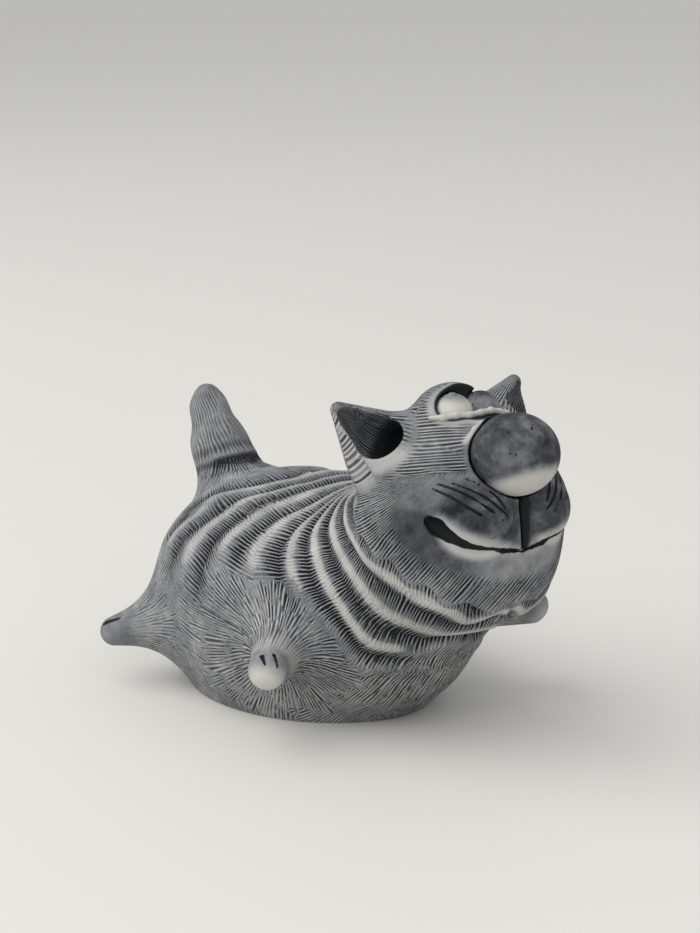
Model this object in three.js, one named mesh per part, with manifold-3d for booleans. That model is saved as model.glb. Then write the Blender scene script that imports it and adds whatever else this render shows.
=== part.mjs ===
// A small cast figurine of a fat cartoon cat lying on its belly with the head raised.
// Millimetres, +Z up. The cat looks along -Y, its left side is +X, and the origin is the
// middle of the flat underside. The figure is rigid: no piece moves against another.
import * as THREE from "three";
import { mergeVertices } from "three/addons/utils/BufferGeometryUtils.js";
import Module from "manifold-3d";

const wasm = await Module();
wasm.setup();

// ---------------------------------------------------------------- driving dimensions
const GAP = 0.3; // clearance between pieces that sit against each other

const BODY_LENGTH = 50; // belly, front to back
const BODY_WIDTH = 41;
const BACK_HEIGHT = 31; // floor to the top of the back
const BELLY_LEVEL = 15.5; // height of the widest belly line
const BELLY_DROP = 25.5; // depth of the belly curve that the flat base cuts off

const HEAD_WIDTH = 30;
const HEAD_FORWARD = 29.5; // head centre ahead of the base centre
const HEAD_HEIGHT = 31; // head centre above the floor
const NECK_WIDTH = 30.4;

const TAIL_HEIGHT = 39.5; // floor to the tip of the tail
const TAIL_BASE_RADIUS = 5.2;
const PAW_REACH = 25.5; // paw tips, sideways from the middle
const EAR_SPREAD = 31.6; // between the ear tips
const EAR_HEIGHT = 46.9; // floor to the ear tips
const NOSE_WIDTH = 11.8;
const EYE_DIAMETER = 5.4;
const SMILE_WIDTH = 21; // between the corners of the mouth
const TOE_SLIT = { width: 0.5, depth: 1 };
const PUPIL_RADIUS = 0.5;

const FOLDS = 11; // rings of skin between the chin and the tail
const FOLD_DEPTH = 0.7;
const SADDLE = { forward: 6, height: 36.5 }; // the folds fan out from here, over the nape
const FIRST_FOLD = -37; // degrees, under the chin
const LAST_FOLD = -170; // degrees, at the root of the tail

// ---------------------------------------------------------------- colours
const PAINT = {
  coat: { color: 0x7f8184, roughness: 0.82, metalness: 0 },
  face: { color: 0x86888b, roughness: 0.8, metalness: 0 },
  bare: { color: 0xc9c8c2, roughness: 0.78, metalness: 0 },
  slate: { color: 0x5a5c61, roughness: 0.76, metalness: 0 },
};

// ---------------------------------------------------------------- placing and fields
// A point given as ahead of, to the cat's right of and above the base centre.
function at(forward, right, height) {
  return new THREE.Vector3(-right, -forward, height);
}

// Distance to an ellipsoid; its lower half may be deeper than its upper half.
function ball(centre, forward, side, up, down = up) {
  return (p) => {
    const x = (p.x - centre.x) / side;
    const y = (p.y - centre.y) / forward;
    const rise = p.z > centre.z ? up : down;
    const z = (p.z - centre.z) / rise;
    const k = Math.hypot(x, y, z);
    const slope = Math.hypot(x / side, y / forward, z / rise);
    return slope > 0 ? (k * (k - 1)) / slope : -Math.min(forward, side, up);
  };
}

// Distance to a cone with round ends.
function roundCone(a, b, radiusA, radiusB) {
  const axis = b.clone().sub(a);
  const length = axis.length();
  axis.divideScalar(length);
  const taper = (radiusA - radiusB) / length;
  const spread = Math.sqrt(Math.max(0, 1 - taper * taper));
  return (p) => {
    const off = p.clone().sub(a);
    const along = off.dot(axis);
    const across = Math.sqrt(Math.max(0, off.lengthSq() - along * along));
    const shifted = along - (across * taper) / Math.max(spread, 1e-6);
    const t = Math.min(length, Math.max(0, shifted));
    return Math.hypot(across, along - t) - (radiusA + (radiusB - radiusA) * (t / length));
  };
}

// Two fields joined with a fillet of the given size.
function blend(f, g, fillet) {
  return (p) => {
    const a = f(p);
    const b = g(p);
    const h = Math.max(0, fillet - Math.abs(a - b)) / fillet;
    return Math.min(a, b) - (h * h * fillet) / 4;
  };
}

// ---------------------------------------------------------------- meshes and solids
function solid(geometry) {
  const bare = geometry.clone();
  bare.deleteAttribute("normal");
  bare.deleteAttribute("uv");
  const merged = mergeVertices(bare, 1e-4);
  const made = new wasm.Manifold(
    new wasm.Mesh({
      numProp: 3,
      vertProperties: new Float32Array(merged.attributes.position.array),
      triVerts: new Uint32Array(merged.index.array),
    }),
  );
  return made;
}

// How far from `from` along `way` the field's surface lies.
function surfaceAlong(field, from, way, grow, reach) {
  const p = new THREE.Vector3();
  const depth = (t) => field(p.copy(way).multiplyScalar(t).add(from)) - grow;
  let outside = reach;
  while (outside > 0.5 && depth(outside) > 0) outside -= 0.5;
  let low = outside;
  let high = outside + 0.5;
  for (let i = 0; i < 14; i++) {
    const middle = (low + high) / 2;
    if (depth(middle) > 0) high = middle;
    else low = middle;
  }
  return low;
}

// A round skin blown up from its middle until it meets the field.
function skin(field, middle, detail, grow = 0, reach = 40) {
  const geometry = new THREE.IcosahedronGeometry(1, detail);
  const vertices = geometry.attributes.position;
  const way = new THREE.Vector3();
  for (let i = 0; i < vertices.count; i++) {
    way.fromBufferAttribute(vertices, i).normalize();
    way.multiplyScalar(surfaceAlong(field, middle, way, grow, reach)).add(middle);
    vertices.setXYZ(i, way.x, way.y, way.z);
  }
  return solid(geometry);
}

function box(sizeX, sizeY, sizeZ, centre, turnX = 0) {
  const geometry = new THREE.BoxGeometry(sizeX, sizeY, sizeZ);
  geometry.rotateX(turnX);
  geometry.translate(centre.x, centre.y, centre.z);
  return solid(geometry);
}

const root = new THREE.Group();
root.name = "cat_figurine";

// Cutting can leave a crumb beside a piece; only its largest body is kept.
function largest(body) {
  return body.decompose().reduce((most, one) => (one.volume() > most.volume() ? one : most));
}

function piece(name, body, paint) {
  const from = largest(body).getMesh();
  const geometry = new THREE.BufferGeometry();
  const points = new Float32Array(from.numVert * 3);
  for (let i = 0; i < from.numVert; i++) {
    for (let k = 0; k < 3; k++) points[3 * i + k] = from.vertProperties[from.numProp * i + k];
  }
  geometry.setAttribute("position", new THREE.BufferAttribute(points, 3));
  geometry.setIndex(new THREE.BufferAttribute(new Uint32Array(from.triVerts), 1));
  geometry.computeVertexNormals();
  const mesh = new THREE.Mesh(geometry, new THREE.MeshStandardMaterial(paint));
  mesh.name = name;
  root.add(mesh);
}

// ---------------------------------------------------------------- the fused figure
const belly = ball(
  at(-3, 0, BELLY_LEVEL),
  BODY_LENGTH / 2,
  BODY_WIDTH / 2,
  BACK_HEIGHT - BELLY_LEVEL,
  BELLY_DROP,
);
const headMiddle = at(HEAD_FORWARD, 0, HEAD_HEIGHT);
const nape = headMiddle.clone().add(at(0, 0, -1.5));
const neck = roundCone(at(11, 0, BELLY_LEVEL - 1), nape, NECK_WIDTH / 2, NECK_WIDTH * 0.33);
const trunk = blend(belly, neck, 5);
const skull = ball(headMiddle, 11.5, HEAD_WIDTH / 2, 13.8, 13.8);
const figure = blend(trunk, skull, 4);

// ---------------------------------------------------------------- torso
const FOLD_SPAN = THREE.MathUtils.degToRad(FIRST_FOLD - LAST_FOLD);
const FOLD_START = THREE.MathUtils.degToRad(FIRST_FOLD);

// Height of the fold relief at a point: soft crests, narrow creases, fading to the base.
function foldRelief(p) {
  const angle = Math.atan2(p.z - SADDLE.height, -p.y - SADDLE.forward);
  const turns = ((FOLD_START - angle) / FOLD_SPAN) * FOLDS;
  if (turns < -0.5 || turns > FOLDS + 0.5) return 0;
  const crest = Math.sqrt(Math.abs(Math.cos(Math.PI * turns)));
  const fade = THREE.MathUtils.smoothstep(p.z, 7, 17);
  return FOLD_DEPTH * (crest - 0.75) * fade;
}

// The spine of the torso, one point for each angle round the saddle.
const TORSO_ENDS = [THREE.MathUtils.degToRad(-158), THREE.MathUtils.degToRad(-30)];
function spine(angle) {
  const t = (angle - TORSO_ENDS[0]) / (TORSO_ENDS[1] - TORSO_ENDS[0]);
  const radius = THREE.MathUtils.lerp(22.5, 20.5, t);
  return at(
    SADDLE.forward + radius * Math.cos(angle),
    0,
    SADDLE.height + radius * Math.sin(angle),
  );
}

function torsoSkin(grow, around, along) {
  const geometry = new THREE.CapsuleGeometry(1, 1, 5, around, along);
  const vertices = geometry.attributes.position;
  const v = new THREE.Vector3();
  for (let i = 0; i < vertices.count; i++) {
    v.fromBufferAttribute(vertices, i);
    const t = THREE.MathUtils.clamp(v.y + 0.5, 0, 1);
    const angle = THREE.MathUtils.lerp(TORSO_ENDS[0], TORSO_ENDS[1], t);
    const from = spine(angle);
    const beyond = v.y > 0.5 ? v.y - 0.5 : Math.min(0, v.y + 0.5);
    const out = at(Math.cos(angle), 0, Math.sin(angle)).multiplyScalar(v.x);
    const onward = at(-Math.sin(angle), 0, Math.cos(angle)).multiplyScalar(beyond);
    const way = out.add(onward).add(at(0, v.z, 0)).normalize();
    const far = surfaceAlong(trunk, from, way, grow, 44);
    const p = way.multiplyScalar(far).add(from);
    const relief = grow > 0 ? 0 : foldRelief(p);
    p.addScaledVector(p.clone().sub(from).normalize(), relief);
    vertices.setXYZ(i, p.x, p.y, p.z);
  }
  return solid(geometry);
}

const FLOOR = box(200, 200, 40, at(0, 0, -20));
const CUT_TURN = THREE.MathUtils.degToRad(-FIRST_FOLD);
// Everything on the head's side of the crease under the chin, pushed back by `shift`.
function headSide(shift) {
  const depth = 80;
  const toHead = at(Math.sin(CUT_TURN), 0, Math.cos(CUT_TURN));
  const middle = at(SADDLE.forward, 0, SADDLE.height).addScaledVector(toHead, depth / 2 + shift);
  return box(120, 160, depth, middle, CUT_TURN);
}

const torso = torsoSkin(0, 40, 44).subtract(FLOOR).subtract(headSide(-GAP / 2));
const torsoRoom = torsoSkin(GAP + 0.35, 28, 24);

// ---------------------------------------------------------------- nose, eyes and muzzle
const noseMiddle = at(HEAD_FORWARD + 10.2, 0, HEAD_HEIGHT + 9.9);
const NOSE_HALF = NOSE_WIDTH / 2;
const noseField = ball(noseMiddle, NOSE_HALF * 0.95, NOSE_HALF, NOSE_HALF * 0.92);
const nose = skin(noseField, noseMiddle, 5);
const noseRoom = skin(noseField, noseMiddle, 5, GAP);

const EYE_RADIUS = EYE_DIAMETER / 2;
const betweenEyes = at(HEAD_FORWARD + 1.2, 0, HEAD_HEIGHT + 14.6);
function eye(side, grow = 0) {
  const middle = betweenEyes.clone().add(at(0, side * (EYE_RADIUS + GAP / 2 + 0.02), 0));
  const whole = skin(ball(middle, EYE_RADIUS, EYE_RADIUS, EYE_RADIUS), middle, 3, grow);
  if (grow > 0) return whole;
  const pupil = middle.clone().addScaledVector(at(0.35, side * 0.1, 0.93).normalize(), EYE_RADIUS);
  return whole.subtract(skin(ball(pupil, PUPIL_RADIUS, PUPIL_RADIUS, PUPIL_RADIUS), pupil, 1));
}
const eyesRoom = eye(1, GAP).add(eye(-1, GAP));

function pad(side, grow = 0) {
  const middle = at(HEAD_FORWARD + 6.8, side * 4.7, HEAD_HEIGHT + 2.3);
  const whole = skin(ball(middle, 6, 6.3, 4.7), middle, 4, grow);
  const inner = GAP / 2 - grow;
  return whole.subtract(box(40, 120, 120, at(0, -side * (20 - inner), 40)));
}
const padsRoom = pad(1, GAP).add(pad(-1, GAP));

// ---------------------------------------------------------------- head and lower jaw
const headWhole = skin(figure, headMiddle, 9).intersect(headSide(GAP / 2));

// The block of head below the smile, in front of the jaw hinge line.
function jawBlock(grow) {
  const smile = new THREE.Shape();
  const level = HEAD_HEIGHT - 2.7 + grow;
  smile.moveTo(-16, -10);
  smile.lineTo(16, -10);
  smile.lineTo(16, level + 5);
  smile.lineTo(SMILE_WIDTH / 2, level + 5);
  smile.quadraticCurveTo(0, level - 5, -SMILE_WIDTH / 2, level + 5);
  smile.lineTo(-16, level + 5);
  const geometry = new THREE.ExtrudeGeometry(smile, { depth: 60, bevelEnabled: false, curveSegments: 12 });
  geometry.rotateX(Math.PI / 2);
  geometry.translate(0, -27 + grow, 0);
  return solid(geometry);
}
const jawRoom = jawBlock(GAP);
const lowerJaw = headWhole.intersect(jawBlock(0)).subtract(padsRoom).subtract(noseRoom);
const mouthMiddle = at(HEAD_FORWARD + 8.5, 0, HEAD_HEIGHT + 0.4);
const mouthHollow = skin(ball(mouthMiddle, 5, SMILE_WIDTH / 2, 3), mouthMiddle, 4);

const head = headWhole
  .subtract(jawRoom)
  .subtract(mouthHollow)
  .subtract(noseRoom)
  .subtract(eyesRoom)
  .subtract(padsRoom)
  .subtract(earBowl(1))
  .subtract(earBowl(-1));
const headRoom = skin(figure, headMiddle, 9, GAP);

// ---------------------------------------------------------------- brow and lower eyelid
function tube(points, radius, steps) {
  const path = new THREE.CatmullRomCurve3(points);
  const ring = new THREE.Shape().absarc(0, 0, radius, 0, 2 * Math.PI, false);
  const options = { steps, extrudePath: path, curveSegments: 4, bevelEnabled: false };
  return solid(new THREE.ExtrudeGeometry(ring, options));
}

// A hood over the back of the eyes, from one outer corner to the other, in eye radii.
const browArch = [
  [-0.07, 2.22, -0.72],
  [-0.74, 1.63, 0.16],
  [-1.04, 0.22, 0.68],
  [-0.96, -0.81, 0.5],
  [-0.67, -1.7, 0.05],
  [-0.07, -2.22, -0.72],
];
// A wavy roll of skin below the eyes, in eye radii.
const lidWave = [
  [0.07, 2.22, -0.5],
  [0.89, 1.56, -0.26],
  [1.26, 0.67, -0.35],
  [1.26, -0.44, -0.14],
  [0.89, -1.56, -0.14],
  [0.07, -2.22, -0.5],
];
const roundEyes = ([forward, right, height]) =>
  at(forward, right, height).multiplyScalar(EYE_RADIUS).add(betweenEyes);

const brow = tube(browArch.map(roundEyes), 1.25, 16).subtract(headRoom).subtract(eyesRoom);
const browRoom = tube(browArch.map(roundEyes), 1.25 + GAP, 16);
const lowerEyelid = tube(lidWave.map(roundEyes), 0.85, 18)
  .subtract(headRoom)
  .subtract(eyesRoom)
  .subtract(noseRoom)
  .subtract(browRoom);

// ---------------------------------------------------------------- ears
function earBowl(side) {
  const deep = at(-1, side * 10.8, 10.8).add(headMiddle);
  const rim = at(-4.6, side * (EAR_SPREAD / 2 - 0.8), EAR_HEIGHT - HEAD_HEIGHT - 2).add(headMiddle);
  return skin(roundCone(deep, rim, 3.3, 0.9), deep, 3);
}
function ear(side) {
  const deep = at(-4.4, side * 9.4, 9).add(headMiddle);
  const tip = at(-7, side * (EAR_SPREAD / 2 - 0.8), EAR_HEIGHT - HEAD_HEIGHT - 1).add(headMiddle);
  return skin(roundCone(deep, tip, 5.6, 1), deep.clone().lerp(tip, 0.35), 5)
    .subtract(earBowl(side))
    .subtract(headRoom);
}

// ---------------------------------------------------------------- tail and paws
const tailRoot = at(-22.2, 0, 25);
const tailTip = at(-28.6, 0, TAIL_HEIGHT - 1.8);
const tailField = roundCone(tailRoot, tailTip, TAIL_BASE_RADIUS, 1.8);
const tail = skin(tailField, tailRoot.clone().lerp(tailTip, 0.4), 5).subtract(torsoRoom);

// A paw with narrow slits between its toes; the slits stand upright at the given offsets.
function paw(rootPoint, tipPoint, rootRadius, tipRadius, slits) {
  const field = roundCone(rootPoint, tipPoint, rootRadius, tipRadius);
  const outward = tipPoint.clone().sub(rootPoint).normalize();
  const turn = Math.atan2(outward.y, outward.x);
  let body = skin(field, rootPoint.clone().lerp(tipPoint, 0.5), 4).subtract(torsoRoom);
  for (const offset of slits) {
    const slit = new THREE.BoxGeometry(TOE_SLIT.depth * 2, TOE_SLIT.width, tipRadius * 1.3);
    slit.translate(tipRadius, offset, tipRadius * 0.75);
    slit.rotateZ(turn);
    slit.translate(tipPoint.x, tipPoint.y, tipPoint.z);
    body = body.subtract(solid(slit));
  }
  return body;
}
function frontPaw(side) {
  const tip = at(17.6, side * (PAW_REACH - 2.6), 12);
  return paw(at(11, side * 15, 12.4), tip, 4.2, 2.6, [-0.8, 0.8]);
}
function hindPaw(side) {
  const tip = at(-20.5, side * (PAW_REACH - 1.8), 7.6);
  return paw(at(-15, side * 13, 10), tip, 5, 1.6, [0]);
}

// ---------------------------------------------------------------- the pieces
piece("torso", torso, PAINT.coat);
piece("head", head, PAINT.face);
piece("lower_jaw", lowerJaw, PAINT.face);
piece("nose", nose, PAINT.slate);
piece("right_muzzle_pad", pad(1).subtract(noseRoom), PAINT.bare);
piece("left_muzzle_pad", pad(-1).subtract(noseRoom), PAINT.bare);
piece("right_eye", eye(1), PAINT.bare);
piece("left_eye", eye(-1), PAINT.slate);
piece("brow", brow, PAINT.face);
piece("lower_eyelid", lowerEyelid, PAINT.bare);
piece("right_ear", ear(1), PAINT.coat);
piece("left_ear", ear(-1), PAINT.coat);
piece("tail", tail, PAINT.coat);
piece("front_right_paw", frontPaw(1), PAINT.bare);
piece("front_left_paw", frontPaw(-1), PAINT.bare);
piece("hind_right_paw", hindPaw(1), PAINT.coat);
piece("hind_left_paw", hindPaw(-1), PAINT.coat);

export default root;
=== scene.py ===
"""A small matt cast figurine of a fat cartoon cat lying on its belly, head raised.

The fused figure is one distance field. Each named piece is the part of its skin that lies in
that piece's region; where two pieces meet, each one dips under the other, so no seam shows.
The hair grooves and the fat folds are made by a Geometry Nodes tree, and the wash that lies in
them by a material that runs the same sums.
Lengths are in millimetres on the cat's own axes (ahead, right, up) until a mesh is made.
"""
import math
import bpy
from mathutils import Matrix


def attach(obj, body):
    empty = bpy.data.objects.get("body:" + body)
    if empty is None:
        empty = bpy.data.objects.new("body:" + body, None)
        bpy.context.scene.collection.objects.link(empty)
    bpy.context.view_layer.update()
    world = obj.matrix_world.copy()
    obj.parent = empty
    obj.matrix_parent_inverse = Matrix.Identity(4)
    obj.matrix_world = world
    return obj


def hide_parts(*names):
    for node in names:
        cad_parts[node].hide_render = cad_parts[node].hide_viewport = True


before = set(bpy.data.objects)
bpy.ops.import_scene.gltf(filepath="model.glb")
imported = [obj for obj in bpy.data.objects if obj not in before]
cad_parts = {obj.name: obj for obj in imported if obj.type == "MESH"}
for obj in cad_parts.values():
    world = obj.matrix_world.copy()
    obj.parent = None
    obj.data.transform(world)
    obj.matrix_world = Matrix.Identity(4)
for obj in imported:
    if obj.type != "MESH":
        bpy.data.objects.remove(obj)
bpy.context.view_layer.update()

from concurrent.futures import ThreadPoolExecutor

import bpy
import numpy as np
import openvdb
from mathutils import Vector

MM = 0.001
COARSER = 1.0
# Sizes of the coat: the first two in millimetres, the depths in metres.
COAT_SIZES = {
    "Hair pitch": 0.47,
    "Stroke length": 4.8,
    "Groove depth": 0.00015,
    "Fold depth": 0.0009,
    "Seed": 3.0,
}

# ------------------------------------------------------------------ sizes of the figure
BELLY = dict(middle=(-3, 0, 15.5), half=(25, 20.5, 15.1), lower=25.5)
NECK = ((11, 0, 14.5), (29.5, 0, 29.5), 15.2, 10.0)
HEAD, HEAD_HALF = (29.5, 0, 31), (11.5, 15, 13.8)
BRIDGE = ((32, 0, 38), (37, 0, 41), 6.4, 4.8)
FOREHEAD, FOREHEAD_HALF = (30.6, 0, 38), (5.6, 8.6, 6.6)
CHIN = ((32.3, 2.4, 25.8), (35.6, 3.6, 27.4), 8.4, 5.0)
NOSE, NOSE_HALF = (39.7, 0, 41.0), (5.6, 5.85, 5.3)
NEAR_EYE, FAR_EYE, EYE_RADIUS = (30.7, 2.76, 45.1), (30.1, -2.5, 44.75), 2.62
SOCKET_DOME, SOCKET_DOME_HALF = (28.8, 1.3, 43.4), (5.0, 5.9, 5.3)
SOCKET, SOCKET_HALF, EYE_CUP = (34.0, 0.3, 47.9), (4.4, 6.0, 2.8), 2.85
PAD, PAD_HALF = (36.4, 4.8, 32.9), (6.2, 5.6, 5.3)
FRONT_PAW = ((10, 14, 12.4), (17.8, 23.0, 11.4), 4.2, 2.55)
LEFT_PAW = ((10, -14, 12.6), (18.4, -22.5, 12.1), 4.4, 2.5)
HIND_PAW = ((-14, 12, 10), (-20.1, 22.4, 7.6), 5.0, 2.1)
EAR = ((25.1, 9.4, 40), (22.5, 15.0, 45.9), 5.3, 1.0)
CLEFT = dict(half=0.14, back=37.5, low=28.8, high=37.5)  # the slit between the two pads
NOSE_GAP = 0.22
# Lines of knots, each a place and a radius. All but the tail and the eyelid lie on the right side.
TAIL = [((-20.6, 0, 24), 5.9), ((-25.6, 0, 31), 3.8), ((-28.2, 0, 36), 2.4), ((-28.7, 0, 37.9), 1.6)]
EAR_BOWL = [((27.2, 8.6, 40.8), 2.5), ((26.8, 11.7, 42.3), 2.7), ((24.2, 15.0, 45.3), 1.0)]
MOUTH = [
    ((36.3, 11.2, 33.3), 0.7),
    ((37.3, 10.8, 32.7), 0.95),
    ((38.8, 9.9, 31.5), 0.78),
    ((40.0, 8.6, 30.7), 0.55),
    ((41.2, 7.0, 30.1), 0.3),
    ((41.5, 5.4, 29.8), 0.2),
    ((41.4, 3.4, 29.3), 0.2),
    ((41.3, 1.5, 29.0), 0.18),
    ((41.3, 0, 28.8), 0.2),
]
THROAT = [
    ((34.6, 9.4, 32.9), 1.5),
    ((37.0, 6.5, 31.0), 1.0),
    ((38.5, 2.5, 30.0), 0.7),
    ((38.5, 0, 30.0), 0.7),
]
NOSTRIL = [
    ((37.2, 3.3, 45.4), 0.12),
    ((36.6, 4.1, 44.2), 0.36),
    ((36.0, 4.9, 42.5), 0.42),
    ((35.9, 5.1, 40.6), 0.28),
    ((36.2, 4.8, 38.6), 0.1),
]
LID = [
    ((31.0, 6.7, 45.1), 0.26),
    ((32.2, 5.6, 45.2), 0.4),
    ((33.1, 4.2, 45.5), 0.38),
    ((33.8, 2.6, 45.4), 0.4),
    ((34.2, 1.0, 45.6), 0.38),
    ((34.3, -0.6, 45.7), 0.4),
    ((34.1, -2.2, 45.3), 0.38),
    ((33.4, -3.8, 44.8), 0.38),
    ((32.2, -5.2, 44.4), 0.34),
    ((31.0, -6.3, 44.1), 0.26),
]
WHISKERS = [
    [(36.0, 10.4, 37.3), (38.0, 9.4, 36.6), (39.9, 8.5, 35.6), (41.4, 7.3, 34.6), (42.2, 5.9, 33.5)],
    [(36.2, 9.8, 37.9), (38.2, 8.5, 37.3), (40.1, 7.4, 36.4), (41.8, 6.0, 35.1), (42.4, 4.4, 33.6)],
    [(37.3, 8.5, 38.0), (39.1, 7.3, 37.4), (40.9, 6.0, 36.5), (42.0, 4.7, 35.2), (42.3, 3.3, 33.9)],
    [(38.2, 6.9, 38.5), (39.5, 5.9, 37.8), (40.7, 4.9, 36.9), (41.6, 4.1, 35.9), (42.0, 3.5, 34.9)],
]
WHISKER_RADII = (0.05, 0.09, 0.12, 0.14, 0.08)
TOE_SLITS = [
    [((18.1, 24.1, 13.6), 0.22), ((19.3, 24.5, 12.9), 0.07)],
    [((18.9, 22.8, 13.6), 0.22), ((20.1, 23.2, 12.5), 0.07)],
]
HIND_SLIT = ((-20.4, 24.2, 9.0), (-18.6, 22.6, 10.0), 0.25, 0.18)

# The ball in which each part is worked out: its middle and its reach.
REACH = {
    "tail": ((-25, 0, 31), 22),
    "bridge": ((34, 0, 39), 16),
    "forehead": ((30, 0, 38), 17),
    "chin": ((34, 4, 26), 18),
    "dome": (SOCKET_DOME, 13),
    "ear": ((24, 12, 43), 16),
    "throat": ((37, 5, 31), 10),
    "pad": (PAD, 13),
    "mouth": ((38, 5, 31), 12),
    "socket": (SOCKET, 12),
    "bowl": ((26, 12, 43), 9),
    "nostril": ((36, 5, 42), 6),
    "whiskers": ((39.5, 6.5, 36), 7),
    "toes": ((20, 24, 12.6), 4),
    "hind_toe": ((-19.5, 23.4, 9.5), 4),
}
# How widely each part melts into the figure, and how soft the edge of each hollow is.
MELT = dict(head=4, bridge=3, forehead=2.5, chin=3, dome=2.0, ear=3.0, nostril=0.5)
MELT.update(front_paw=4.0, hind_paw=6, tail=3.5)
SOFT = dict(throat=0.4, mouth=0.2, nose=0.35, socket=0.5, bowl=0.6, cleft=0.5, whiskers=0.15, toes=0.15)
# The parting of head and torso, in the valley below the first fold.
NECK_CUT = ((6, 36.5), math.radians(-37))
# The tail starts at this height on its own slanted line, and its hair a little further up.
TAIL_START, TAIL_LEAN = -22.5, (-0.42, 0.907)
TAIL_FOOT, TAIL_HAIR_FOOT = 28.4, 29.4
JAW_BACK, EAR_FOOT, BROW_FOOT, BROW_FRONT = 27, 34.5, 45.0, 31.5

# Where each fold valley runs: its angle about the saddle, in degrees, at eight places from the
# throat (0) round the flank (90) to the nape (180). After it come the place where the fold dies
# out towards the throat, and its full strength.
SADDLE = (6, 36.5)
PLACES = (0, 20, 45, 75, 100, 125, 140, 160)
VALLEYS = [
    ((-24, -23, -21, -18, -20, -26, -29, -31), -30, 1.0),
    ((-30, -30, -31, -32, -32, -34, -36, -38), -30, 1.0),
    ((-41, -42, -44, -46, -46, -46, -47, -46), -30, 1.0),
    ((-49, -51, -53, -55, -58, -61, -58, -54), 36, 1.0),
    ((-57, -59, -61, -62, -67, -79, -72, -60), 90, 0.95),
    ((-75, -78, -82, -86, -95, -106, -103, -80), 108, 1.0),
    ((-95, -98, -102, -108, -117, -131, -132, -124), 90, 0.95),
    ((-115, -117, -120, -128, -140, -145, -143, -138), 84, 0.95),
    ((-130, -133, -137, -145, -151, -154, -154, -151), 82, 0.9),
    ((-150, -152, -155, -159, -163, -165, -165, -164), 104, 0.75),
]


# ------------------------------------------------------------------ distance fields
def smooth(x, low, high):
    t = np.clip((x - low) / (high - low), 0, 1)
    return t * t * (3 - 2 * t)


def egg(p, middle, half, lower=None):
    d = p - np.asarray(middle, np.float32)
    h = np.broadcast_to(np.asarray(half, np.float32), d.shape)
    if lower is not None:
        h = h.copy()
        h[:, 2] = np.where(d[:, 2] < 0, lower, h[:, 2])
    q = d / h
    k = np.sqrt((q * q).sum(1)) + 1e-6
    slope = np.sqrt(((q / h) ** 2).sum(1)) + 1e-6
    return k * (k - 1) / slope


def cone(p, a, b, ra, rb):
    """Round cone from a to b."""
    a, b = np.asarray(a, np.float32), np.asarray(b, np.float32)
    axis = b - a
    length = float(np.linalg.norm(axis))
    axis = axis / length
    d = p - a
    along = d @ axis
    across = np.sqrt(np.maximum((d * d).sum(1) - along * along, 0))
    taper = (ra - rb) / length
    lean = taper / math.sqrt(max(1e-6, 1 - taper * taper))
    t = np.clip(along - across * lean, 0, length)
    return np.hypot(across, along - t) - (ra + (rb - ra) * (t / length))


def chain(p, knots, k):
    """Round cones from knot to knot, melted together."""
    d = None
    for (a, ra), (b, rb) in zip(knots[:-1], knots[1:]):
        part = cone(p, a, b, ra, rb)
        d = part if d is None else melt(d, part, k)
    return d


def melt(a, b, k):
    h = np.maximum(k - np.abs(a - b), 0) / k
    return np.minimum(a, b) - h * h * k / 4


def carve(a, b, k):
    """a with b taken out of it, with an edge softened by k."""
    return -melt(-a, b, k)


def sided(p):
    """The point as if it lay on the cat's right side."""
    q = p.copy()
    q[:, 1] = np.abs(q[:, 1])
    return q


def near(p, part, field, far=9.0):
    """The part's field within its reach, and beyond that a plain large value."""
    middle, reach = REACH[part]
    close = ((p - np.asarray(middle, np.float32)) ** 2).sum(1) < reach * reach
    out = np.full(len(p), far, np.float32)
    if close.any():
        out[close] = field(p[close])
    return out


def eye_socket(p):
    cups = np.minimum(egg(p, NEAR_EYE, (EYE_CUP,) * 3), egg(p, FAR_EYE, (EYE_CUP,) * 3))
    return melt(egg(p, SOCKET, SOCKET_HALF), cups, 0.6)


def whisker_grooves(s):
    d = None
    for line in WHISKERS:
        part = chain(s, list(zip(line, WHISKER_RADII)), 0.1)
        d = part if d is None else np.minimum(d, part)
    return d


def toe_slits(s):
    return np.minimum(chain(s, TOE_SLITS[0], 0.1), chain(s, TOE_SLITS[1], 0.1))


def cleft(p):
    """The upright slit between the muzzle pads."""
    height = np.maximum(p[:, 2] - CLEFT["high"], CLEFT["low"] - p[:, 2])
    return np.maximum(np.abs(p[:, 1]) - CLEFT["half"], np.maximum(CLEFT["back"] - p[:, 0], height))


def up_the_tail(p, foot):
    """How far above its foot a place lies along the tail."""
    return (p[:, 0] - TAIL_START) * TAIL_LEAN[0] + (p[:, 2] - foot) * TAIL_LEAN[1]


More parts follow.
